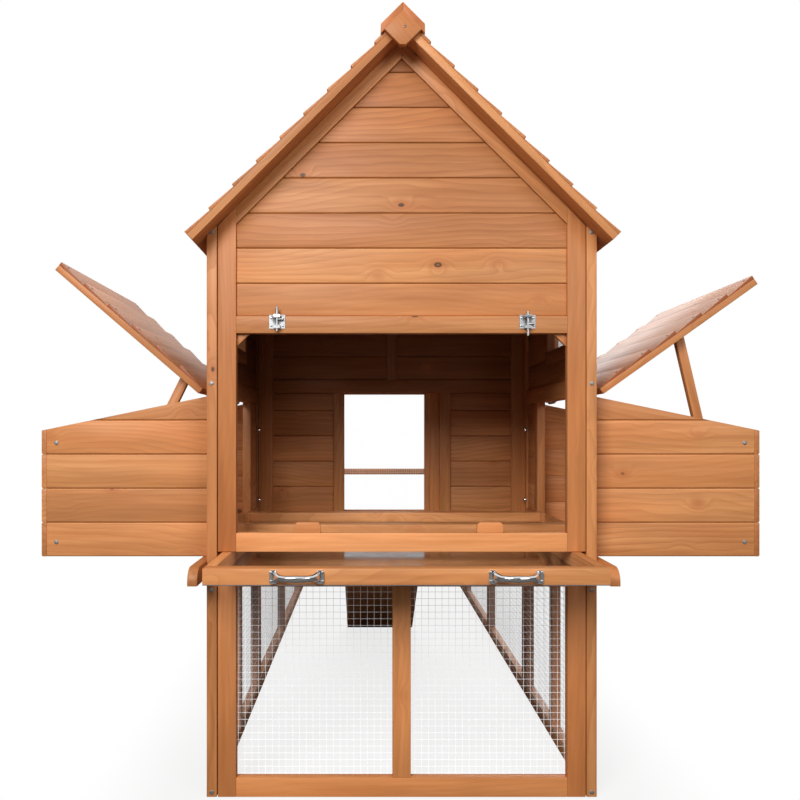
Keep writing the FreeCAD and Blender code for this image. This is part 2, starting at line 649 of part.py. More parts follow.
def lid(name, side, opened):
    """A lid built flat along its reach, then swung up to its standing angle."""
    axis = FreeCAD.Vector(side * HINGE_X, 0, HINGE_Z)
    back = LID_FRONT + LID_LENGTH_Y
    low = -HINGE_RISE
    high = low + LID_THICK

    def placed(shape):
        return shape.rotate(axis, AXIS_Y, -side * opened)

    def flat(points, d0, d1):
        return placed(across([(side * (HINGE_X + u), HINGE_Z + v) for u, v in points], d0, d1))

    def bar(u0, u1, d0, d1, v0, v1):
        return flat([(u0, v0), (u1, v0), (u1, v1), (u0, v1)], d0, d1)

    export("lid_frame_" + name, [
        bar(LID_START, LID_REACH, LID_FRONT, LID_FRONT + LID_BATTEN, low, high),
        bar(LID_START, LID_REACH, back - LID_BATTEN, back, low, high),
        bar(LID_START, LID_START + LID_RAIL, LID_FRONT + LID_BATTEN, back - LID_BATTEN, low, high)])
    pitch = (LID_REACH - LID_START) / LID_COURSES
    boards = []
    for number in range(LID_COURSES):
        upper = LID_START + number * pitch
        lower = upper + pitch
        boards.append(flat([(upper, high), (lower, high), (lower, high + LID_COURSE_THICK),
                            (upper, high + LID_COURSE_THIN)], LID_FRONT, back))
    export("lid_boards_" + name, boards)

    bases = []
    leaves = []
    bore = HINGE_PIN_RADIUS + HINGE_PIN_CLEARANCE
    third = HINGE_LENGTH / 3
    for start in (LID_FRONT + HINGE_INSET, back - HINGE_INSET - HINGE_LENGTH):
        pin = rod(HINGE_PIN_RADIUS, HINGE_LENGTH, side * HINGE_X, start, HINGE_Z, AXIS_Y)
        plate = box(side * HALF, side * (HALF + HINGE_LEAF), start, start + HINGE_LENGTH, HINGE_Z,
                    HINGE_Z + HINGE_LEAF_REACH)
        for offset in (0, 2 * third):
            knuckle = rod(HINGE_RADIUS, third, side * HINGE_X, start + offset, HINGE_Z, AXIS_Y)
            arm = box(side * HALF, side * HINGE_X, start + offset, start + offset + third,
                      HINGE_Z + HINGE_RADIUS - HINGE_LEAF, HINGE_Z + HINGE_RADIUS)
            plate = plate.fuse(knuckle).fuse(arm)
        bases.append(plate.fuse(pin).removeSplitter().Solids[0])
        knuckle = rod(HINGE_RADIUS, third - 2 * SLIDE_GAP, side * HINGE_X, start + third + SLIDE_GAP,
                      HINGE_Z, AXIS_Y)
        leaf = box(side * HINGE_X, side * (HINGE_X + LID_START + HINGE_LEAF_REACH), start + third + SLIDE_GAP,
                   start + 2 * third - SLIDE_GAP, HINGE_Z + low - HINGE_LEAF, HINGE_Z + low)
        hole = rod(bore, HINGE_LENGTH, side * HINGE_X, start, HINGE_Z, AXIS_Y)
        leaves.append(placed(knuckle.fuse(leaf).cut(hole).removeSplitter().Solids[0]))
    return bases, leaves, placed


def prop(name, side, placed, at, length, hang):
    """The stick that holds a lid up: pivoted on the lid's front batten, its foot in the box."""
    start = LID_FRONT + LID_BATTEN
    high = PROP_PIVOT_UP - HINGE_RISE
    x, z = side * (HINGE_X + at), HINGE_Z + high
    half = PROP_WIDTH / 2
    front = start + SLIDE_GAP
    shaft = box(x, x + side * length, front, front + PROP_THICK, z - half, z + half)
    stick = shaft.fuse(rod(half, PROP_THICK, x, front, z, AXIS_Y))
    stick = stick.fuse(rod(half, PROP_THICK, x + side * length, front, z, AXIS_Y))
    stick = stick.cut(rod(PROP_PIVOT_RADIUS + HINGE_PIN_CLEARANCE, PROP_THICK, x, front, z, AXIS_Y))
    stick = stick.removeSplitter().Solids[0]
    stick = stick.rotate(FreeCAD.Vector(x, 0, z), AXIS_Y, side * hang)
    export("prop_" + name, [placed(stick)])
    head_at = front + PROP_THICK + SLIDE_GAP
    screw = rod(PROP_PIVOT_RADIUS, head_at - start, x, start, z, AXIS_Y)
    screw = screw.fuse(rod(PROP_HEAD_RADIUS, PROP_HEAD_THICK, x, head_at, z, AXIS_Y))
    return placed(screw)


def nests_and_lids():
    floors = []
    posts = []
    bases = []
    plans = (("left", -1, LID_LEFT_ANGLE, PROP_LEFT_AT, PROP_LEFT_LENGTH, PROP_LEFT_ANGLE),
             ("right", 1, LID_RIGHT_ANGLE, PROP_RIGHT_AT, PROP_RIGHT_LENGTH, PROP_RIGHT_ANGLE))
    for name, side, opened, at, length, hang in plans:
        floor, pair = nest_box(name, side)
        floors.append(floor)
        posts.extend(pair)
        fixed, leaves, placed = lid(name, side, opened)
        bases.extend(fixed)
        leaves.append(prop(name, side, placed, at, length, hang))
        export("lid_leaves_" + name, leaves)
    export("nest_floors", floors)
    export("nest_posts", posts)
    export("lid_hinge_bases", bases)


def carry_rails():
    """Rails under the nest boxes whose rounded ends stand out in front as grips."""
    top = NEST_BOTTOM
    low = top - CARRY_HEIGHT
    rails = []
    for side in (-1, 1):
        bar = box(side * HALF, side * (HALF + CARRY_THICK), -CARRY_REACH, HOUSE_DEPTH, low, top)
        edges = []
        for edge in bar.Edges:
            middle = edge.CenterOfMass
            if abs(middle.y - depth(-CARRY_REACH)) < 0.1 and abs(middle.z - top) < 0.1:
                edges.append(edge)
        rails.append(bar.makeFillet(CARRY_ROUND, edges))
    export("carry_rails", rails)


def perches():
    bars = []
    brackets = []
    top = NEST_SILL_TOP + PERCH_ABOVE_SILL
    low = top - PERCH_HEIGHT
    for middle in (PERCH_FRONT_AT, PERCH_REAR_AT):
        half = PERCH_WIDTH / 2
        end = INNER - PERCH_CLEARANCE
        bars.append(box(-end, end, middle - half, middle + half, low, top))
        notch = half + PERCH_CLEARANCE
        wide = notch + BRACKET_WALL
        section = [(middle - wide, low - BRACKET_WALL), (middle + wide, low - BRACKET_WALL),
                   (middle + wide, top), (middle + notch, top), (middle + notch, low),
                   (middle - notch, low), (middle - notch, top), (middle - wide, top)]
        for side in (-1, 1):
            x = min(side * INNER, side * (INNER - BRACKET_THICK))
            brackets.append(along_x(section, x, x + BRACKET_THICK))
    export("perches", bars)
    export("perch_brackets", brackets)


def tray():
    """Droppings tray: a timber frame on a galvanised sheet, with two pull handles."""
    half = INNER - TRAY_SIDE_GAP
    front = -TRAY_PULLED
    back = front + TRAY_LENGTH
    low = TRAY_BOTTOM + TRAY_SHEET
    top = low + TRAY_HEIGHT
    rail_back = front + TRAY_FRONT_RAIL
    frame = [box(-half, half, front, rail_back, low, top),
             box(-half, half, back - TRAY_SIDE_RAIL, back, low, top)]
    for side in (-1, 1):
        frame.append(box(side * half, side * (half - TRAY_SIDE_RAIL), rail_back, back - TRAY_SIDE_RAIL, low,
                         top))
    export("tray_frame", frame)
    export("tray_sheet", [box(-half, half, front, back, TRAY_BOTTOM, low)])
    runners = []
    for side in (-1, 1):
        runners.append(box(side * INNER, side * (INNER - RUNNER_WIDTH), PANEL_THICK, HOUSE_DEPTH - BACK_THICK,
                           LOWER_TOP - RUNNER_HEIGHT, LOWER_TOP))
    export("tray_runners", runners)
    for name, side in (("left", -1), ("right", 1)):
        export("tray_handle_" + name, [pull_handle(side * (half - HANDLE_INSET), front, (low + top) / 2)])


def pull_handle(x, d, z):
    """A bowed pull: a grip that swells at the middle, thins at the necks and flares into two pads."""
    half = HANDLE_GRIP_SPAN / 2
    rings = []
    for t in [-station for station in reversed(HANDLE_STATIONS[1:])] + list(HANDLE_STATIONS):
        bow = HANDLE_REACH * (1 - t ** HANDLE_BOW)
        turn = math.atan2(HANDLE_BOW * HANDLE_REACH * t ** (HANDLE_BOW - 1), half)
        if abs(t) == 1:
            turn = math.copysign(math.pi / 2, t)
        tall = HANDLE_NECK + (HANDLE_SWELL - HANDLE_NECK) * (1 - t * t) ** 2
        flare = abs(t) ** HANDLE_FLARE_BEND
        tall += (HANDLE_FLARE - HANDLE_NECK) * flare
        deep = HANDLE_DEPTH + (HANDLE_FOOT - HANDLE_DEPTH) * flare
        centre = FreeCAD.Vector(x + t * half, depth(d - HANDLE_PAD_THICK - bow), z)
        inward = FreeCAD.Vector(-math.sin(turn), math.cos(turn), 0)
        points = []
        for number in range(HANDLE_SIDES):
            angle = 2 * math.pi * number / HANDLE_SIDES
            level = AXIS_Z * (tall * math.cos(angle))
            points.append(centre + level + inward * (deep * math.sin(angle)))
        rings.append(Part.makePolygon(points + points[:1]))
    grip = Part.makeLoft(rings, True, True)
    for side in (-1, 1):
        middle = x + side * HANDLE_PAD_SPACING / 2
        pad = box(middle - HANDLE_PAD_WIDTH / 2, middle + HANDLE_PAD_WIDTH / 2, d - HANDLE_PAD_THICK, d,
                  z - HANDLE_PAD_HEIGHT / 2, z + HANDLE_PAD_HEIGHT / 2)
        corners = [edge for edge in pad.Edges if abs(edge.tangentAt(edge.FirstParameter).y) > 0.9]
        grip = grip.fuse(pad.makeFillet(HANDLE_PAD_ROUND, corners))
    return grip.removeSplitter().Solids[0]


def run():
    """Mesh run: two side walls of framed panels, a top with cross bars, a far end panel."""
    stock = RUN_STOCK
    panel = RUN_LENGTH / RUN_PANELS
    top = RUN_HEIGHT
    for name, side in (("left", -1), ("right", 1)):
        inner, outer = side * INNER, side * HALF
        frame = []
        for number in range(RUN_PANELS):
            start = HOUSE_DEPTH + number * panel
            end = start + panel
            frame.append(box(inner, outer, start, start + stock, 0, top))
            frame.append(box(inner, outer, end - stock, end, 0, top))
            frame.append(box(inner, outer, start + stock, end - stock, 0, stock))
            frame.append(box(inner, outer, start + stock, end - stock, top - stock, top))
        export("run_frame_" + name, frame)

    roof_top = top + PANEL_THICK
    bars = []
    start = HOUSE_DEPTH + OVERHANG
    for side in (-1, 1):
        bars.append(box(side * (HALF - stock), side * HALF, start, RUN_END, top, roof_top))
    joints = [HOUSE_DEPTH + number * panel for number in range(1, RUN_PANELS)]
    for middle in [start + stock / 2] + joints + [RUN_END - stock / 2]:
        bars.append(box(stock - HALF, HALF - stock, middle - stock / 2, middle + stock / 2, top, roof_top))
    export("run_top_frame", bars)
    edge = stock / 3
    corner = FreeCAD.Vector(edge - HALF, depth(start + edge), roof_top)
    export("run_top_mesh", [net(corner, AXIS_X, AXIS_Y, AXIS_Z, HOUSE_WIDTH - 2 * edge,
                                RUN_END - start - 2 * edge, WIDE_MESH_CELL)])

    end_front = RUN_END - PANEL_THICK
    end = []
    for side in (-1, 1):
        end.append(box(side * (INNER - stock), side * INNER, end_front, RUN_END, 0, top))
    half = INNER - stock
    end.append(box(-half, half, end_front, RUN_END, 0, stock))
    end.append(box(-half, half, end_front, RUN_END, top - stock, top))
    end.append(box(-half, half, end_front, RUN_END, RUN_MID_RAIL, RUN_MID_RAIL + RUN_MID_RAIL_HEIGHT))
    export("run_end_frame", end)
    corner = FreeCAD.Vector(-half - edge, depth(end_front), 2 * edge)
    export("run_end_mesh", [net(corner, AXIS_X, AXIS_Z, -AXIS_Y, 2 * (half + edge), top - 4 * edge,
                                WIDE_MESH_CELL)])


def main():
    os.makedirs("parts", exist_ok=True)
    front_panel()
    barrel_bolts()
    lower_front()
    panes = []
    vents = []
    for name, side in (("left", -1), ("right", 1)):
        pane, battens = side_panel(name, side)
        panes.append(pane)
        vents.extend(battens)
        side_meshes(name, side)
    export("vent_panes", panes)
    export("vent_frames", vents)
    back_wall()
    roof()
    nests_and_lids()
    carry_rails()
    perches()
    tray()
    run()


main()
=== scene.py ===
"""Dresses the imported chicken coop: stained fir boards, welded wire, zinc and chrome fittings."""
import json
import math
import random
import bpy
import numpy as np
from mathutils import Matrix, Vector


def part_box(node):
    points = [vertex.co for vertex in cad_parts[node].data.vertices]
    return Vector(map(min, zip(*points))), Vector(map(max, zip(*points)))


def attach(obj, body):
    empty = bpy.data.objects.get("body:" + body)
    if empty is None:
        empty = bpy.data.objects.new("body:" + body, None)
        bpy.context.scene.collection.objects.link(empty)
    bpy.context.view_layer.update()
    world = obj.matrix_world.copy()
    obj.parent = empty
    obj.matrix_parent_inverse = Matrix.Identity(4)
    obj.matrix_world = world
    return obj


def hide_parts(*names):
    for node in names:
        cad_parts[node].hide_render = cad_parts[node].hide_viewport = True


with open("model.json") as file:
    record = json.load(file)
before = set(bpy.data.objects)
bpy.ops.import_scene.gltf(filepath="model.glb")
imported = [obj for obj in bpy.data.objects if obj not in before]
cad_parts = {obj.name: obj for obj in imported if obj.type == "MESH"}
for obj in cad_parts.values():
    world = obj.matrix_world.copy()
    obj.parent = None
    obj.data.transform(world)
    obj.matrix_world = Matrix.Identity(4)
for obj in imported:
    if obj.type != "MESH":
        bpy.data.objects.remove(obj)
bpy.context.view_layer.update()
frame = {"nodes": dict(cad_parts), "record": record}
BODY_OF_NODE = {}
for body_name, node_names in frame["record"]["behaviour"]["bodies"].items():
    for node_name in node_names:
        BODY_OF_NODE[node_name] = body_name

# Edges and wires, in metres. The two layers of welded wire stand a share of a radius off the sheet's middle.
FRONT_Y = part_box("front_sill")[0].y
EASED_EDGE = 0.0011
FITTING_EDGE = 0.0003
STILE_GAP = 0.0018
STILE_FACE = 0.0002
WIRE_PITCH = 0.0127
WIRE_RADIUS = 0.00030
WIRE_SIDES = 6
WELD_SHARE = 0.9

# Painted shade and stain on the boards: seam and inner-face bands of painted shade, the depth of the bright
# front, and where the painted shade inside darkens
SEAM_BAND = 0.0003
INNER_BAND = 0.0015
BRIGHT_DEPTH = 0.02
SHADE_START = 0.60
SHADE_RISE = 0.26
SEAM_PAINTED_SHADE = 0.32
# Painted shade: how much the gable boards darken towards their top, as under the roof's overhang
GABLE_PAINTED_SHADE = 0.44
END_GRAIN = 0.81
DARK_END_GRAIN = 1.0
TONE_SPREAD = 0.13
FIRST_SEED = 11

# Camera fitted to the photograph: distance in front of the house, sideways and up, in metres
EYE_X = -0.065
EYE_Z = 0.683
EYE_DISTANCE = 1.5
LENS_MM = 36.09
SENSOR_MM = 36
SHIFT_X = 0.04125
SHIFT_Y = 0.04
FAR_CLIP = 200

# Floor and light
FLOOR_SIZE = 80
FLOOR_DROP = 0.0006
FLOOR_WHITE = 0.80
WORLD_LIGHT = 0.06
WHITE = (1.0, 1.0, 1.0, 1.0)


class Link:
    """A shader socket that takes part in Python arithmetic."""

    def __init__(self, tree, socket):
        self.tree = tree
        self.socket = socket

    def math(self, operation, *values):
        sockets = dict(enumerate((self,) + values))
        node = add_node(self.tree, "ShaderNodeMath", {"operation": operation}, sockets)
        return Link(self.tree, node.outputs[0])

    def __add__(self, other):
        return self.math("ADD", other)

    def __radd__(self, other):
        return self.math("ADD", other)

    def __sub__(self, other):
        return self.math("SUBTRACT", other)

    def __rsub__(self, other):
        return (self * -1.0).math("ADD", other)

    def __mul__(self, other):
        return self.math("MULTIPLY", other)

    def __rmul__(self, other):
        return self.math("MULTIPLY", other)

    def power(self, exponent):
        return self.math("POWER", exponent)

    def above(self, edge):
        return self.math("GREATER_THAN", edge)

    def ramp(self, low, high):
        """0 below low, 1 above high, smooth between."""
        sockets = {"Value": self, "From Min": low, "From Max": high}
        node = add_node(self.tree, "ShaderNodeMapRange", {"interpolation_type": "SMOOTHSTEP"}, sockets)
        return Link(self.tree, node.outputs["Result"])


def set_sockets(tree, node, sockets):
    """Gives a node's sockets, by name or number, their values or links."""
    for key, value in sockets.items():
        if isinstance(value, Link):
            tree.links.new(value.socket, node.inputs[key])
        else:
            node.inputs[key].default_value = value


def add_node(tree, kind, settings=None, sockets=None):
    """A node by its type, with its settings set first and its sockets given values or links."""
    node = tree.nodes.new(kind)
    for name, value in (settings or {}).items():
        setattr(node, name, value)
    set_sockets(tree, node, sockets or {})
    return node


def attribute(tree, name):
    node = add_node(tree, "ShaderNodeAttribute", {"attribute_name": name})
    return Link(tree, node.outputs["Vector"])


def coordinate(tree, kind):
    return Link(tree, add_node(tree, "ShaderNodeTexCoord").outputs[kind])


def axes_of(place):
    """A vector's three parts."""
    node = add_node(place.tree, "ShaderNodeSeparateXYZ", sockets={0: place})
    return [Link(place.tree, socket) for socket in node.outputs]


def vector(tree, x, y, z):
    node = add_node(tree, "ShaderNodeCombineXYZ", sockets={"X": x, "Y": y, "Z": z})
    return Link(tree, node.outputs[0])


def noise(tree, place, scale, detail, rough):
    sockets = {"Vector": place, "Scale": scale, "Detail": detail, "Roughness": rough}
    return Link(tree, add_node(tree, "ShaderNodeTexNoise", sockets=sockets).outputs[0])


def mix_colour(tree, factor, first, second, blend="MIX"):
    settings = {"data_type": "RGBA", "blend_type": blend}
    node = add_node(tree, "ShaderNodeMix", settings, {"Factor": factor, 6: first, 7: second})
    return Link(tree, node.outputs[2])


def new_material(name):
    material = bpy.data.materials.new(name)
    material.use_nodes = True
    tree = material.node_tree
    shader = tree.nodes["Principled BSDF"]
    return material, tree, shader


def stained_fir(name, coat, coat_rough):
    """Fir under a reddish stain: contour grain, fibre streaks, knots and a tone for each board."""
    material, tree, shader = new_material(name)
    along, wide, thick = axes_of(attribute(tree, "grain"))
    light, warm, figure = axes_of(attribute(tree, "tint"))

    def drawn_out(lengthwise, crosswise, detail, rough):
        """Noise stretched along the board."""
        place = vector(tree, along * lengthwise, wide * crosswise, thick * crosswise)
        return noise(tree, place, 1.0, detail, rough)

    knot_place = vector(tree, along * 8.5, wide * 13.0, thick * 13.0)
    cells = add_node(tree, "ShaderNodeTexVoronoi", sockets={"Vector": knot_place, "Scale": 1.0})
    reach = Link(tree, cells.outputs["Distance"])
    lot = add_node(tree, "ShaderNodeSeparateColor", sockets={"Color": Link(tree, cells.outputs["Color"])})
    chosen = Link(tree, lot.outputs[0]).above(0.10) * figure.above(0.40)
    pull = (1.0 - reach.ramp(0.0, 0.34)) * chosen

    drift = drawn_out(1.9, 5.0, 1.0, 0.35)
    wander = drawn_out(7.0, 22.0, 2.0, 0.5)
    depth = wide * 92.0 + thick * 40.0 + drift * 11.0 + wander * 1.5 + pull * 1.9
    late = depth.math("FRACT").power(2.2)
    fibre = drawn_out(9.0, 520.0, 3.0, 0.6)
    streak = drawn_out(2.0, 80.0, 4.0, 0.62)
    patch = drawn_out(3.2, 8.0, 2.0, 0.5)
    blotch = drawn_out(2.6, 19.0, 3.0, 0.6)

    sockets = {0: attribute(tree, "axis"), 1: coordinate(tree, "Normal")}
    dot = add_node(tree, "ShaderNodeVectorMath", {"operation": "DOT_PRODUCT"}, sockets)
    end = Link(tree, dot.outputs["Value"]).math("ABSOLUTE").ramp(0.75, 0.95)

    pale = (0.680, 0.300, 0.112, 1.0)
    deep = (0.520, 0.194, 0.056, 1.0)
    red = (0.640, 0.210, 0.058, 1.0)
    late_wood = (0.330, 0.110, 0.030, 1.0)
    around_knot = (0.480, 0.150, 0.044, 1.0)
    knot_wood = (0.060, 0.022, 0.006, 1.0)
    end_wood = (0.300, 0.062, 0.003, 1.0)
    colour = mix_colour(tree, streak.ramp(0.30, 0.72) * 0.8, pale, deep)
    colour = mix_colour(tree, patch.ramp(0.42, 0.78) * 0.45, colour, red)
    colour = mix_colour(tree, late * figure * 0.46, colour, late_wood)
    colour = mix_colour(tree, fibre.ramp(0.50, 0.82) * 0.22, colour, deep)
    colour = mix_colour(tree, warm, colour, red)
    light = light * (0.86 + blotch.ramp(0.30, 0.70) * 0.26)
    channels = {"Red": light, "Green": light * light.power(0.15), "Blue": light.power(1.3)}
    shade = Link(tree, add_node(tree, "ShaderNodeCombineColor", sockets=channels).outputs[0])
    colour = mix_colour(tree, 1.0, colour, shade, "MULTIPLY")
    knot = (1.0 - reach.ramp(0.050, 0.076)) * chosen
    heart = 1.0 - reach.ramp(0.008, 0.046)
    halo = (1.0 - reach.ramp(0.06, 0.22)) * chosen
    colour = mix_colour(tree, halo * 0.50, colour, around_knot)
    colour = mix_colour(tree, knot * (0.92 - heart * 0.42), colour, knot_wood)
    colour = mix_colour(tree, end * (0.82 + fibre * 0.3), colour, end_wood)

    relief = {"Height": fibre * 0.6 + late * 0.4 - knot * 0.3, "Strength": 0.07, "Distance": 0.0005}
    bump = add_node(tree, "ShaderNodeBump", sockets=relief)
    set_sockets(tree, shader, {
        "Base Color": colour,
        "Roughness": 0.46 + fibre * 0.16 + late * 0.05,
        "Normal": Link(tree, bump.outputs[0]),
        "Specular IOR Level": 0.34,
        "Coat Weight": coat,
        "Coat Roughness": coat_rough,
    })
    return material


def metal(name, colour, rough, mottle, scale, metallic=1.0, painted_glint=0.0, painted_height_fade=(0.06, 0.46), one_side=False):
    """Bare metal with a faint mottle in its colour and shine.

    A painted glint, an emission glow though the metal is no lamp, fades between two heights and may lie only
    on the side turned to the house front.
    """
    material, tree, shader = new_material(name)
    place = coordinate(tree, "Object")
    cloud = noise(tree, place, scale, 3.0, 0.6)
    darker = tuple(channel * (1.0 - mottle) for channel in colour) + (1.0,)
    tone = mix_colour(tree, cloud.ramp(0.3, 0.7), colour + (1.0,), darker)
    set_sockets(tree, shader, {"Base Color": tone, "Roughness": rough + cloud * 0.12, "Metallic": metallic})
    # Painted glint: an emission glow, brightest low down, that stands in for light on the wire.
    if painted_glint:
        height = axes_of(place)[2]
        low = 1.0 - height.ramp(*painted_height_fade)
        if one_side:
            backwards = axes_of(coordinate(tree, "Normal"))[1]
            low = low * (1.0 - backwards.ramp(-0.10, 0.25))
        shine = mix_colour(tree, low, (0.12, 0.12, 0.12, 1.0), WHITE)
        set_sockets(tree, shader, {"Emission Color": shine, "Emission Strength": painted_glint})
        material.cycles.emission_sampling = "NONE"
    return material


def clear_pane():
    material, tree, shader = new_material("clear_pane")
    haze = noise(tree, coordinate(tree, "Object"), 9.0, 2.0, 0.5)
    tone = mix_colour(tree, haze, (0.62, 0.72, 0.80, 1.0), (0.74, 0.82, 0.88, 1.0))
    set_sockets(tree, shader, {"Base Color": tone, "Roughness": 0.06 + haze * 0.1, "Alpha": 0.38})
    return material


FIR = stained_fir("stained_fir", coat=0.09, coat_rough=0.30)
GLOSSY_FIR = stained_fir("glossy_fir", coat=0.34, coat_rough=0.42)
# One galvanised wire in three copies: the lower front and the run end carry a painted glint, and the run's
# sides and top take a darker copy as painted shade.
GLINTING_WIRE = metal("galvanised_wire_painted_glint", (0.90, 0.91, 0.92), 0.40, 0.08, 60.0, metallic=0.10, painted_glint=0.55)
SHADED_RUN_WIRE = metal("run_wire_painted_shade", (0.68, 0.69, 0.70), 0.42, 0.20, 60.0, metallic=0.35)
GLINTING_END_WIRE = metal("end_wire_painted_glint", (0.60, 0.61, 0.62), 0.42, 0.15, 60.0, metallic=0.20, painted_glint=0.70,
                 painted_height_fade=(0.80, 1.40), one_side=True)
DULL_ZINC = metal("dull_zinc", (0.36, 0.36, 0.35), 0.52, 0.20, 80.0)
ZINC = metal("zinc_plate", (0.47, 0.475, 0.485), 0.30, 0.18, 140.0)
CHROME = metal("polished_chrome", (0.78, 0.79, 0.80), 0.06, 0.05, 40.0)
SHEET = metal("galvanised_sheet", (0.48, 0.53, 0.58), 0.05, 0.22, 22.0)
DARK_STEEL = metal("blackened_screw", (0.20, 0.15, 0.12), 0.42, 0.30, 300.0)
PANE = clear_pane()


def deselect():
    if bpy.context.object and bpy.context.object.mode != "OBJECT":
        bpy.ops.object.mode_set(mode="OBJECT")
    bpy.ops.object.select_all(action="DESELECT")


def choose(obj):
    deselect()
    bpy.context.view_layer.objects.active = obj
    obj.select_set(True)


def join(pieces):
    """Joins the pieces into the first one."""
    choose(pieces[0])
    for piece in pieces[1:]:
        piece.select_set(True)
    if len(pieces) > 1:
        bpy.ops.object.join()
    return pieces[0]


def solids_of(node):
    """The node's closed solids, each as its own triangles: a solid ends where every edge has met."""
    mesh = frame["nodes"][node].data
    mesh.calc_loop_triangles()
    points = [tuple(round(c, 6) for c in vertex.co) for vertex in mesh.vertices]
    solids = []
    faces = []
    waiting = set()
    for triangle in mesh.loop_triangles:
        corners = [points[index] for index in triangle.vertices]
        if len(set(corners)) < 3:
            continue
        faces.append(corners)
        for start, end in zip(corners, corners[1:] + corners[:1]):
            if (end, start) in waiting:
                waiting.remove((end, start))
            else:
                waiting.add((start, end))
        if not waiting:
            solids.append(faces)
            faces = []
    if faces:
        solids.append(faces)
    return solids


def copy_of(node, name):
    """A merged copy of the node in which every solid keeps its own points."""
    points = []
    polygons = []
    for solid in solids_of(node):
        known = {}
        for corners in solid:
            for corner in corners:
                if corner not in known:
                    known[corner] = len(points)
                    points.append(corner)
            polygons.append([known[corner] for corner in corners])
    mesh = bpy.data.meshes.new(name)
    mesh.from_pydata(points, [], polygons)
    mesh.update()
    obj = bpy.data.objects.new(name, mesh)
    bpy.context.scene.collection.objects.link(obj)
    choose(obj)
    bpy.ops.object.mode_set(mode="EDIT")
    bpy.ops.mesh.select_all(action="SELECT")
    bpy.ops.mesh.dissolve_limited(angle_limit=math.radians(0.5))
    bpy.ops.object.mode_set(mode="OBJECT")
    return obj


def apply_modifiers(obj):
    choose(obj)
    for modifier in list(obj.modifiers):
        bpy.ops.object.modifier_apply(modifier=modifier.name)


def ease_edges(obj, width, segments):
    bevel = obj.modifiers.new("eased", "BEVEL")
    bevel.width = width
    bevel.segments = segments
    bevel.limit_method = "ANGLE"
    bevel.angle_limit = math.radians(25)
    bevel.use_clamp_overlap = True
    apply_modifiers(obj)
    choose(obj)
    bpy.ops.object.shade_smooth_by_angle(angle=math.radians(30))


def finish_node(obj, node, material):
    obj.data.materials.clear()
    obj.data.materials.append(material)
    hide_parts(node)
    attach(obj, BODY_OF_NODE[node])


def islands_of(mesh):
    """Lists of vertex numbers, one list for each board in the mesh."""
    parent = list(range(len(mesh.vertices)))

    def root(index):
        while parent[index] != index:
            parent[index] = parent[parent[index]]
            index = parent[index]
        return index

    for edge in mesh.edges:
        first, second = root(edge.vertices[0]), root(edge.vertices[1])
        parent[first] = second
    groups = {}
    for index in range(len(parent)):
        groups.setdefault(root(index), []).append(index)
    return list(groups.values())


def unit(direction):
    return direction / np.linalg.norm(direction)


def longest(sides):
    return unit(sides[np.argmax(np.linalg.norm(sides, axis=1))])


def board_axes(sides):
    """A board's length, width and thickness directions from its edges."""
    length = longest(sides)
    width = longest(sides - np.outer(sides @ length, length))
    return np.array([length, width, np.cross(length, width)])


def lay_grain(obj, seed, light, warm, figure, seam_shade, painted_height_fade, ends, inside_shade):
    """Gives each board its grain direction along its length, a place in the tree of its own and a tone.

    Painted shade gathers in the seams between boards, and the boards of some nodes take painted shade that
    darkens towards their top.
    The faces turned into the house (an axis, a sign and a share) take painted shade that darkens them under
    the roof, behind the front.
    End grain is dark where ends nears 1.
    """
    mesh = obj.data
    draw = random.Random(seed)
    points = np.array([vertex.co for vertex in mesh.vertices])
    groups = islands_of(mesh)
    board_of = {}
    for number, group in enumerate(groups):
        for index in group:
            board_of[index] = number
    spans = [[] for group in groups]
    for edge in mesh.edges:
        start, end = edge.vertices
        spans[board_of[start]].append(points[end] - points[start])
    grain = np.zeros((len(points), 3))
    tint = np.zeros((len(points), 3))
    axis = np.zeros((len(points), 3))
    for group, sides in zip(groups, spans):
        axes = board_axes(np.array(sides))
        shift = np.array([draw.uniform(0, 40), draw.uniform(0, 9), draw.uniform(0, 9)])
        grain[group] = points[group] @ axes.T + shift
        axis[group] = axes[0] * ends
        tone = light * (1.0 + draw.uniform(-TONE_SPREAD, TONE_SPREAD))
        redness = max(0.0, warm + draw.uniform(-0.15, 0.2))
        tint[group] = (tone, redness, figure * draw.uniform(0.5, 1.2))
        across = grain[group, 1]
        # Painted shade in the seams: the band along each board's long edges darkens.
        in_seam = (across < across.min() + SEAM_BAND) | (across > across.max() - SEAM_BAND)
        tint[group, 0] *= np.where(in_seam, seam_shade, 1.0)
        # Painted shade: faces turned into the house darken under the roof, behind the front.
        if inside_shade:
            facing, sign, share = inside_shade
            inward = points[group, facing] * sign
            inner = (inward > inward.max() - INNER_BAND) & (points[group, 1] > FRONT_Y + BRIGHT_DEPTH)
            under_roof = np.clip((points[group, 2] - SHADE_START) / SHADE_RISE, 0.0, 1.0)
            tint[group, 0] *= np.where(inner, 1.0 - share * under_roof, 1.0)
    height = (points[:, 2] - points[:, 2].min()) / np.ptp(points[:, 2])
    # Painted shade that darkens the node towards its top.
    tint[:, 0] *= 1.0 - painted_height_fade * height
    for name, values in (("grain", grain), ("tint", tint), ("axis", axis)):
        layer = mesh.attributes.new(name, "FLOAT_VECTOR", "POINT")
        layer.data.foreach_set("vector", values.astype(np.float32).ravel())


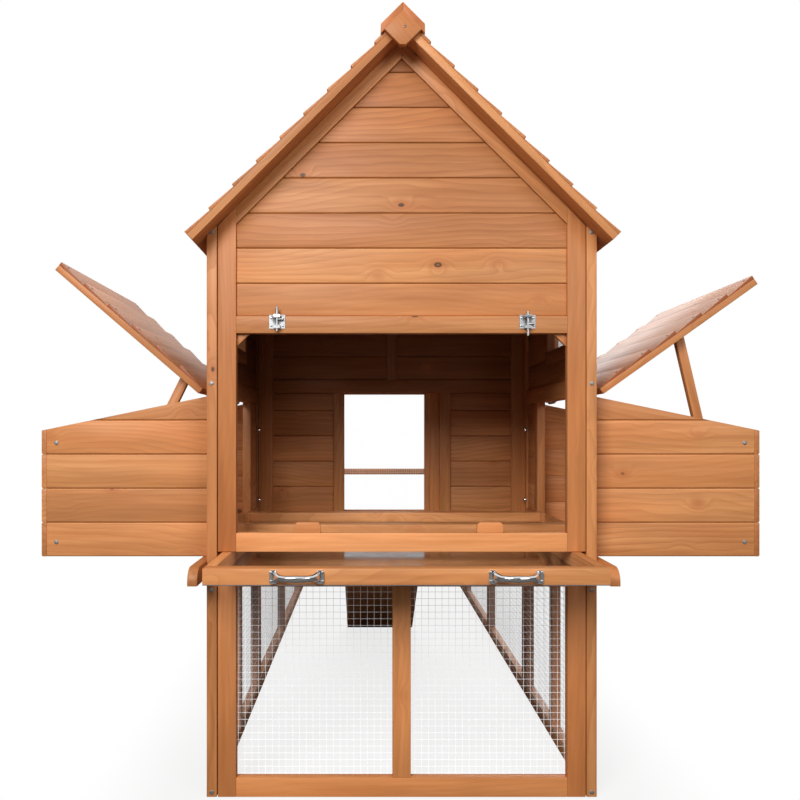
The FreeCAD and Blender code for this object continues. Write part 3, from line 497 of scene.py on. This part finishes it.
# Timber nodes: how light, how red and how strongly figured each is
TIMBER = {
    "front_stiles": (0.88, 0.50, 0.7), "front_lintel": (1.00, 0.20, 0.8), "front_sill": (1.24, 0.42, 0.5),
    "front_rakes": (0.95, 0.08, 0.8), "front_gable_boards": (1.04, 0.10, 0.9),
    "lintel_gussets": (0.9, 0.2, 0.5), "sill_catches": (1.12, 0.45, 0.4),
    "lower_front_frame": (1.08, 0.50, 0.8), "side_frame_left": (0.95, 0.2, 0.8),
    "side_frame_right": (0.95, 0.2, 0.8), "side_boards_left": (1.0, 0.1, 0.9),
    # The vent frames' low lightness is painted shade: these battens stand inside the house.
    "side_boards_right": (1.0, 0.1, 0.9), "vent_frames": (0.45, 0.15, 0.7), "back_frame": (0.98, 0.15, 0.8),
    "back_boards": (1.0, 0.1, 0.9), "pop_door": (1.0, 0.15, 0.8), "pop_door_tracks": (0.95, 0.2, 0.7),
    "ramp": (0.95, 0.15, 0.8), "roof_frame": (0.97, 0.0, 0.8), "roof_boards_left": (0.92, 0.25, 0.7),
    "roof_boards_right": (0.92, 0.25, 0.7), "ridge_cap": (0.80, 0.85, 0.5), "ridge_blocks": (0.98, 0.3, 0.5),
    "nest_walls_left": (1.02, 0.12, 0.9), "nest_walls_right": (1.02, 0.12, 0.9),
    "nest_floors": (1.0, 0.1, 0.8), "nest_posts": (0.98, 0.15, 0.7), "lid_frame_left": (0.98, 0.25, 0.7),
    # The lid boards' low lightness, lower on the right lid than the left, is painted shade on their tops.
    "lid_frame_right": (0.98, 0.25, 0.7), "lid_boards_left": (0.70, 0.1, 0.8),
    "lid_boards_right": (0.60, 0.1, 0.8), "prop_left": (1.02, 0.2, 0.6), "prop_right": (1.02, 0.2, 0.6),
    "carry_rails": (0.98, 0.2, 0.7), "perches": (1.0, 0.15, 0.8), "perch_brackets": (1.0, 0.1, 0.6),
    "tray_frame": (1.16, 0.06, 0.8), "tray_runners": (0.95, 0.15, 0.7), "run_frame_left": (0.95, 0.15, 0.8),
    "run_frame_right": (0.95, 0.15, 0.8), "run_top_frame": (0.95, 0.15, 0.8),
    "run_end_frame": (0.95, 0.15, 0.8),
}
# Nodes whose board seams take painted shade
SEAMED = ("front_gable_boards", "side_boards_left", "side_boards_right", "back_boards", "nest_walls_left",
          "nest_walls_right")
# Faces turned into the house, which take painted shade: the axis and sign they face, and how much of their
# tone the painted shade takes
PAINTED_SHADE_INSIDE = {
    "back_boards": (1, -1, 0.58),
    "back_frame": (1, -1, 0.58),
    "side_boards_left": (0, 1, 0.82),
    "side_boards_right": (0, -1, 0.50),
    "side_frame_left": (0, 1, 0.75),
}
FITTINGS = {
    "bolt_plates": (ZINC, "zinc"),
    "bolt_pin_left": (ZINC, "zinc"),
    "bolt_pin_right": (ZINC, "zinc"),
    "lid_hinge_bases": (ZINC, "zinc"),
    "lid_leaves_left": (ZINC, "zinc"),
    "lid_leaves_right": (ZINC, "zinc"),
    "tray_handle_left": (CHROME, "chrome"),
    "tray_handle_right": (CHROME, "chrome"),
    "tray_sheet": (SHEET, "galvanised_sheet"),
    "vent_panes": (PANE, "clear_pane"),
}
WELDED = {
    "lower_front_mesh": GLINTING_WIRE,
    "side_mesh_left": SHADED_RUN_WIRE,
    "side_mesh_right": SHADED_RUN_WIRE,
    "run_top_mesh": SHADED_RUN_WIRE,
    "run_end_mesh": GLINTING_END_WIRE,
}


def open_joint(obj):
    """A narrow shadow gap beside the side frame's stile: the front stile's outer face stands back from it."""
    edge = max(abs(vertex.co.x) for vertex in obj.data.vertices)
    for vertex in obj.data.vertices:
        if abs(vertex.co.x) > edge - STILE_FACE:
            vertex.co.x -= math.copysign(STILE_GAP, vertex.co.x)


def dress_timber():
    for number, (node, (light, warm, figure)) in enumerate(TIMBER.items()):
        obj = copy_of(node, node + "_timber")
        if node in ("front_stiles", "lower_front_frame"):
            open_joint(obj)
        ease_edges(obj, EASED_EDGE, 2)
        on_lid = node.startswith("lid_boards")
        seam_shade = SEAM_PAINTED_SHADE if node in SEAMED else 1.0
        painted_height_fade = GABLE_PAINTED_SHADE if node == "front_gable_boards" else 0.0
        ends = DARK_END_GRAIN if on_lid else END_GRAIN
        lay_grain(obj, number + FIRST_SEED, light, warm, figure, seam_shade, painted_height_fade, ends, PAINTED_SHADE_INSIDE.get(node))
        finish_node(obj, node, GLOSSY_FIR if on_lid else FIR)


def dress_metal():
    for node, (material, slot) in FITTINGS.items():
        obj = copy_of(node, node + "_fitting")
        ease_edges(obj, FITTING_EDGE, 1)
        finish_node(obj, node, material)


def wire_run(name, start, step, count, reach):
    """Parallel straight wires: one thin wire arrayed across the sheet."""
    deselect()
    bpy.ops.mesh.primitive_cylinder_add(vertices=WIRE_SIDES, radius=WIRE_RADIUS, depth=reach.length,
                                        location=start + reach / 2)
    wire = bpy.context.object
    wire.name = name
    wire.rotation_mode = "QUATERNION"
    wire.rotation_quaternion = reach.to_track_quat("Z", "Y")
    bpy.ops.object.transform_apply(location=True, rotation=True, scale=True)
    array = wire.modifiers.new("spread", "ARRAY")
    array.use_relative_offset = False
    array.use_constant_offset = True
    array.constant_offset_displace = step
    array.count = count
    apply_modifiers(wire)
    return wire


def weld_wires(name, low, high):
    """Welded wire over a flat sheet's box: one layer of wires each way, lying on each other."""
    size = high - low
    thin = min(range(3), key=lambda axis: size[axis])
    first, second = [axis for axis in range(3) if axis != thin]
    layers = []
    for run_axis, step_axis, side in ((first, second, -1), (second, first, 1)):
        count = max(2, int(size[step_axis] / WIRE_PITCH) + 1)
        start = low.copy()
        start[thin] = (low[thin] + high[thin]) / 2 + side * WIRE_RADIUS * WELD_SHARE
        start[step_axis] += WIRE_RADIUS
        step = Vector((0, 0, 0))
        step[step_axis] = size[step_axis] / (count - 1) - 2 * WIRE_RADIUS / (count - 1)
        reach = Vector((0, 0, 0))
        reach[run_axis] = size[run_axis]
        layers.append(wire_run(name + "_wires", start, step, count, reach))
    return join(layers)


def dress_mesh():
    for node, material in WELDED.items():
        sheets = []
        for solid in solids_of(node):
            corners = np.array([corner for triangle in solid for corner in triangle])
            sheets.append(weld_wires(node, Vector(corners.min(0)), Vector(corners.max(0))))
        panel = join(sheets)
        panel.name = node + "_welded"
        finish_node(panel, node, material)


# Head radius and height of each fixing, in metres
FRAME_SCREW = (0.0037, 0.0009)
BOLT_SCREW = (0.0021, 0.0007)
HANDLE_SCREW = (0.0024, 0.0008)
LEAF_SCREW = (0.0022, 0.0007)
HINGE_SCREW = (0.0024, 0.0008)
CAP_NUT = (0.0062, 0.0035)
NAIL = (0.0022, 0.0005)
HEAD_SIDES = 14
# Steps of a cap nut's dome: the rise as a share of the radius, and the scale
DOME_STEPS = ((0.35, 0.86), (0.30, 0.66), (0.18, 0.30))
# The dish of a screw's head: bevel and sink as shares of its height, rim as a share of its radius
DISH_BEVEL = 0.45
DISH_SINK = 0.6
DISH_RIM = 0.28
FRONTWARDS = (0, -1, 0)
BACKWARDS = (0, 1, 0)
UPWARDS = (0, 0, 1)

# Places of the fixings in millimetres: x across, heights up, depths behind the house front
STILE_X = 355.5
STILE_HEIGHTS = (9, 387, 774, 1057)
NEST_X = 666
NEST_HEIGHTS = (470, 662)
NEST_FRONT = 52
NEST_REAR = 513
BOLT_CENTRES = (-233, 235)
BOLT_HEIGHT = 889
BOLT_FACE = -1.5
BOLT_HOLES_X = (-11, 11)
BOLT_HOLES_Z = (-7, 7)
HANDLE_X = 180.5
HANDLE_HEIGHT = 444.5
HANDLE_FACE = -183
HANDLE_PADS = (-42.3, 42.3)
HANDLE_HOLES_Z = (-7.2, 7.2)
CAP_NUT_X = 346
CAP_NUT_DEPTH = 572
CAP_NUT_HEIGHTS = (508, 689)

# Lapped roof boards, in millimetres: a nail near each butt, on a board that thins up the slope
ROOF_APEX = 1415.0
ROOF_SLOPE = math.sqrt(0.5)
ROOF_RUN = 541
ROOF_COURSE = 61
ROOF_COURSES = 8
ROOF_BASE = 14
ROOF_BUTT = 6.5
ROOF_TAPER = 5.0
ROOF_NAIL = 14
ROOF_ENDS = (-14, 614)
RUN_POSTS = (659, 1220, 1840, 2460, 3065)
RUN_POST_X = 350
RUN_TOP = 979
RIDGE_NAIL = (3.6, -55, 1414)

# Lapped lid boards, in millimetres from the hinge axis, with each lid's opening in degrees
LIDS = (("left_lid", -1, 40.8), ("right_lid", 1, 35.5))
LID_START = 7
LID_COURSE = 60.5
LID_COURSES = 6
LID_BASE = 9.4
LID_BUTT = 7.0
LID_TAPER = 6.2
LID_NAIL = 12
LID_BATTENS = (48, 515)
LEAF_STARTS = (105, 410)
LEAF_MIDDLE = 24
LEAF_UNDER = -4.6
LEAF_HOLES = (14, 25)
HINGE_HOLES = (8, 24, 40)
HINGE_FACE = 0.3665
HINGE_RISE = 0.0145


def screw_head(place, direction, radius, height, domed):
    """A screw's head standing on a face: a dished, bevelled button, or a dome for a cap nut."""
    deselect()
    bpy.ops.mesh.primitive_cylinder_add(vertices=HEAD_SIDES, radius=radius, depth=height,
                                        location=(0, 0, height / 2))
    head = bpy.context.object
    bpy.ops.object.transform_apply(location=True, rotation=True, scale=True)
    bpy.ops.object.mode_set(mode="EDIT")
    bpy.ops.mesh.select_mode(type="FACE")
    bpy.ops.mesh.select_all(action="DESELECT")
    bpy.ops.object.mode_set(mode="OBJECT")
    for polygon in head.data.polygons:
        polygon.select = polygon.normal.z > 0.9
    bpy.ops.object.mode_set(mode="EDIT")
    if domed:
        for rise, scale in DOME_STEPS:
            bpy.ops.mesh.extrude_region_move(TRANSFORM_OT_translate={"value": (0, 0, rise * radius)})
            bpy.ops.transform.resize(value=(scale, scale, 1))
    else:
        bpy.ops.mesh.bevel(offset=height * DISH_BEVEL, segments=2)
        bpy.ops.mesh.inset(thickness=radius * DISH_RIM)
        bpy.ops.mesh.extrude_region_move(TRANSFORM_OT_translate={"value": (0, 0, -height * DISH_SINK)})
    bpy.ops.object.mode_set(mode="OBJECT")
    bpy.ops.object.shade_smooth_by_angle(angle=math.radians(35))
    head.rotation_mode = "QUATERNION"
    head.rotation_quaternion = Vector(direction).to_track_quat("Z", "Y")
    head.location = place
    bpy.ops.object.transform_apply(location=True, rotation=True, scale=True)
    return head


def fit_screws(name, body, material, spots, size, domed=False):
    """One object of screw heads, each at a place and facing a direction, riding one body."""
    heads = [screw_head(Vector(place), direction, *size, domed) for place, direction in spots]
    join(heads)
    heads[0].name = name
    heads[0].data.materials.clear()
    heads[0].data.materials.append(material)
    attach(heads[0], body)


def front_place(x, d, z):
    """A place given in millimetres across, behind the house front, and up."""
    return (x / 1000, FRONT_Y + d / 1000, z / 1000)


def fit_frame_screws():
    spots = []
    for side in (-1, 1):
        for height in STILE_HEIGHTS:
            spots.append((front_place(side * STILE_X, 0, height), FRONTWARDS))
        for height in NEST_HEIGHTS:
            spots.append((front_place(side * NEST_X, NEST_FRONT, height), FRONTWARDS))
            spots.append((front_place(side * NEST_X, NEST_REAR, height), BACKWARDS))
    fit_screws("frame_screws", "coop", DULL_ZINC, spots, FRAME_SCREW)


def fit_bolt_screws():
    spots = []
    for centre in BOLT_CENTRES:
        for x in BOLT_HOLES_X:
            for z in BOLT_HOLES_Z:
                spots.append((front_place(centre + x, BOLT_FACE, BOLT_HEIGHT + z), FRONTWARDS))
    fit_screws("bolt_screws", "coop", ZINC, spots, BOLT_SCREW)


def fit_handle_screws():
    spots = []
    for side in (-1, 1):
        for pad in HANDLE_PADS:
            for z in HANDLE_HOLES_Z:
                spots.append((front_place(side * HANDLE_X + pad, HANDLE_FACE, HANDLE_HEIGHT + z), FRONTWARDS))
    fit_screws("handle_screws", "tray", ZINC, spots, HANDLE_SCREW)


def fit_cap_nuts():
    spots = []
    for side in (-1, 1):
        for height in CAP_NUT_HEIGHTS:
            spots.append((front_place(side * CAP_NUT_X, CAP_NUT_DEPTH, height), (-side, 0, 0)))
    fit_screws("cap_nuts", "coop", CHROME, spots, CAP_NUT, True)


def fit_roof_nails():
    """Nails in the roof boards, in the run's top rails and in the front ridge block."""
    nails = []
    up = ROOF_BASE + ROOF_BUTT - ROOF_NAIL * ROOF_TAPER / ROOF_COURSE
    for side in (-1, 1):
        for course in range(ROOF_COURSES):
            down = ROOF_RUN - course * ROOF_COURSE - ROOF_NAIL
            x = side * (down + up) * ROOF_SLOPE
            z = ROOF_APEX + (up - down) * ROOF_SLOPE
            for d in ROOF_ENDS:
                nails.append((front_place(x, d, z), (side * ROOF_SLOPE, 0, ROOF_SLOPE)))
    for d in RUN_POSTS:
        for side in (-1, 1):
            nails.append((front_place(side * RUN_POST_X, d, RUN_TOP), UPWARDS))
    nails.append((front_place(*RIDGE_NAIL), FRONTWARDS))
    fit_screws("roof_nails", "coop", DARK_STEEL, nails, NAIL)


def on_open_lid(axis, side, angle, out, up, d):
    """A place on an open lid: millimetres out from its hinge axis, up from its middle, behind the front."""
    cosine, sine = math.cos(math.radians(angle)), math.sin(math.radians(angle))
    return (axis.x + side * (out * cosine - up * sine) / 1000, FRONT_Y + d / 1000,
            axis.z + (out * sine + up * cosine) / 1000)


def fit_lid_screws():
    """Nails in the lid boards, and screws in both leaves of the lid hinges."""
    hinges = {joint["child"]: joint for joint in frame["record"]["behaviour"]["joints"]}
    up = LID_BASE + LID_BUTT - LID_NAIL * LID_TAPER / LID_COURSE
    hinge_spots = []
    for body, side, angle in LIDS:
        axis = Vector(hinges[body]["pos_m"])
        cosine, sine = math.cos(math.radians(angle)), math.sin(math.radians(angle))
        over = (-side * sine, 0, cosine)
        under = (side * sine, 0, -cosine)
        nails = []
        for course in range(LID_COURSES):
            out = LID_START + (course + 1) * LID_COURSE - LID_NAIL
            for d in LID_BATTENS:
                nails.append((on_open_lid(axis, side, angle, out, up, d), over))
        fit_screws(body + "_nails", body, DARK_STEEL, nails, NAIL)
        leaf_spots = []
        for start in LEAF_STARTS:
            for out in LEAF_HOLES:
                place = on_open_lid(axis, side, angle, out, LEAF_UNDER, start + LEAF_MIDDLE)
                leaf_spots.append((place, under))
            for d in HINGE_HOLES:
                place = (side * HINGE_FACE, FRONT_Y + (start + d) / 1000, axis.z + HINGE_RISE)
                hinge_spots.append((place, (side, 0, 0)))
        fit_screws(body + "_leaf_screws", body, ZINC, leaf_spots, LEAF_SCREW)
    fit_screws("hinge_screws", "coop", ZINC, hinge_spots, HINGE_SCREW)


def camera_sees(tree):
    """Two links: 1 for rays that reach the eye straight or through a pane, 1 for rays off a shiny face."""
    rays = add_node(tree, "ShaderNodeLightPath").outputs
    straight = Link(tree, rays["Is Camera Ray"])
    through = Link(tree, rays["Is Transmission Ray"])
    return (straight + through).math("MINIMUM", 1.0), Link(tree, rays["Is Glossy Ray"])


def lay_floor():
    """A floor that the eye sees as white with the coop's shadow, and that throws little light back."""
    deselect()
    bpy.ops.mesh.primitive_plane_add(size=FLOOR_SIZE, location=(0, 0, -FLOOR_DROP))
    floor = bpy.context.object
    floor.name = "floor"
    material, tree, shader = new_material("pale_floor")
    seen = camera_sees(tree)[0]
    tone = mix_colour(tree, seen, (0.16, 0.155, 0.15, 1.0), (0.88, 0.88, 0.88, 1.0))
    set_sockets(tree, shader, {"Base Color": tone, "Roughness": 0.95, "Specular IOR Level": 0.1})
    across, deep, _ = axes_of(coordinate(tree, "Object"))
    aside = across.math("ABSOLUTE").ramp(0.38, 0.64)
    ahead = deep.math("ABSOLUTE").ramp(1.50, 2.05)
    away = aside.math("MAXIMUM", ahead)
    glow = add_node(tree, "ShaderNodeEmission")
    mixer = add_node(tree, "ShaderNodeMixShader", sockets={
        0: seen * (FLOOR_WHITE + away * (1.0 - FLOOR_WHITE)),
        1: Link(tree, shader.outputs[0]),
        2: Link(tree, glow.outputs[0]),
    })
    tree.links.new(mixer.outputs[0], tree.nodes["Material Output"].inputs["Surface"])
    material.cycles.emission_sampling = "NONE"
    floor.data.materials.append(material)


def light_world():
    """A white background to the eye, a pale sky in shiny faces and a little light from all round."""
    world = bpy.data.worlds.new("studio")
    bpy.context.scene.world = world
    world.use_nodes = True
    world.cycles.sampling_method = "NONE"
    tree = world.node_tree
    clear, glossy = camera_sees(tree)
    _, behind, height = axes_of(coordinate(tree, "Generated"))
    backdrop = behind.ramp(0.30, 0.85) * height.ramp(0.02, 0.25) * 0.75
    sky = (0.12 + height.ramp(0.10, 0.55) * 0.80).math("MAXIMUM", backdrop)
    mirrored = glossy * (1.0 - clear)
    plain = (1.0 - clear) * (1.0 - glossy)
    strength = clear + mirrored * sky + plain * WORLD_LIGHT
    set_sockets(tree, tree.nodes["Background"], {"Color": WHITE, "Strength": strength})


def place_lamp(name, place, aim, size, power):
    data = bpy.data.lights.new(name, "AREA")
    data.size = size
    data.energy = power
    light = bpy.data.objects.new(name, data)
    light.location = place
    light.rotation_euler = (Vector(aim) - Vector(place)).to_track_quat("-Z", "Y").to_euler()
    bpy.context.scene.collection.objects.link(light)


def place_lamps():
    """Two lamps before the house, one above and one behind the run; places in metres, power in watts."""
    front_middle = (0, FRONT_Y, 0.45)
    place_lamp("key", (-1.4, FRONT_Y - 3.3, 2.7), aim=front_middle, size=2.0, power=150)
    place_lamp("fill", (2.1, FRONT_Y - 3.3, 2.3), aim=front_middle, size=2.2, power=56)
    place_lamp("above", (0, 0.6, 4.2), aim=(0, 0.2, 0.4), size=3.6, power=90)
    place_lamp("behind", (1.9, 4.4, 2.4), aim=(0, 0.6, 0.6), size=2.6, power=80)


def place_camera():
    scene = bpy.context.scene
    camera_data = bpy.data.cameras.new("camera")
    camera_data.lens = LENS_MM
    camera_data.sensor_width = SENSOR_MM
    camera_data.shift_x = SHIFT_X
    camera_data.shift_y = SHIFT_Y
    camera_data.clip_end = FAR_CLIP
    camera = bpy.data.objects.new("camera", camera_data)
    camera.location = (EYE_X, FRONT_Y - EYE_DISTANCE, EYE_Z)
    camera.rotation_euler = (math.radians(90), 0, 0)
    scene.collection.objects.link(camera)
    scene.camera = camera
    scene.view_settings.view_transform = "Standard"


dress_timber()
dress_metal()
dress_mesh()
fit_frame_screws()
fit_bolt_screws()
fit_handle_screws()
fit_cap_nuts()
fit_roof_nails()
fit_lid_screws()
lay_floor()
light_world()
place_lamps()
place_camera()
